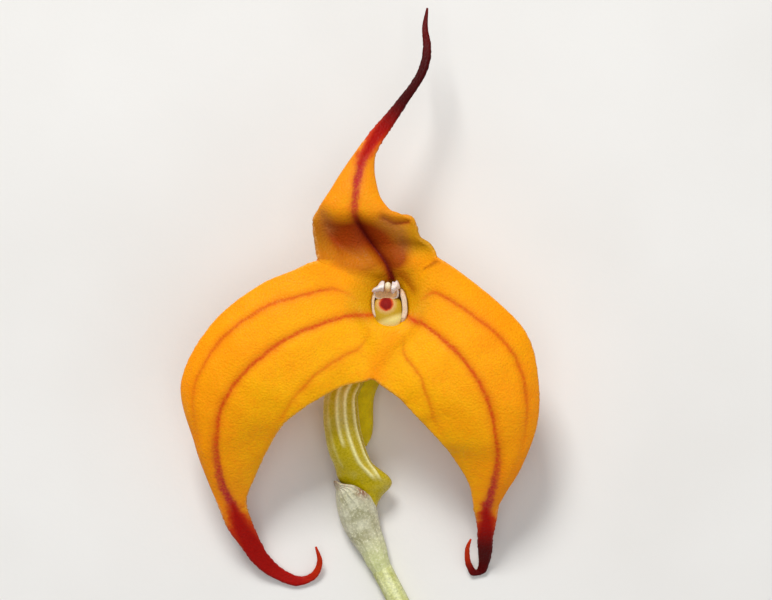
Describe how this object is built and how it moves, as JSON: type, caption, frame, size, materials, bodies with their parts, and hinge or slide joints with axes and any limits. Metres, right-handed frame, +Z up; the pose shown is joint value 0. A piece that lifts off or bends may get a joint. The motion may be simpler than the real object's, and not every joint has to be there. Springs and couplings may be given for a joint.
{
  "type": "cut masdevallia orchid flower",
  "caption": "Cut orchid flower lying on its back: orange tailed sepals grown into a tube, small throat organs, ribbed ovary, papery bract and a bare stem.",
  "frame": {"origin": "on the flat resting spot under the elbow of the sepal tube, at the surface that the flower lies on", "axes": "+Z up, out of the flower's face; +Y towards the dorsal tail, along the flower's length; the stem runs towards -Y"},
  "size_m": [0.0471, 0.1289, 0.0183],
  "materials": {
    "sepal_flesh": "fleshy orange-yellow sepal with red veins and red tails, finely granular",
    "petal_flesh": "translucent pinkish-white petal",
    "column_flesh": "translucent tan column with white toothed wings",
    "anther_wax": "waxy cream cap",
    "lip_flesh": "translucent yellow-olive lip with a dark red apex",
    "ovary_skin": "glossy ribbed yellow-green skin",
    "dry_bract": "dry silvery papery bract",
    "stem_skin": "pale yellow-green smooth stem skin"
  },
  "bodies": {
    "root": {"sepals": "sepal_flesh", "petal_left": "petal_flesh", "petal_right": "petal_flesh", "column": "column_flesh", "anther_cap": "anther_wax", "lip": "lip_flesh", "ovary_and_pedicel": "ovary_skin", "floral_bract": "dry_bract", "stem": "stem_skin"}
  },
  "joints": []
}
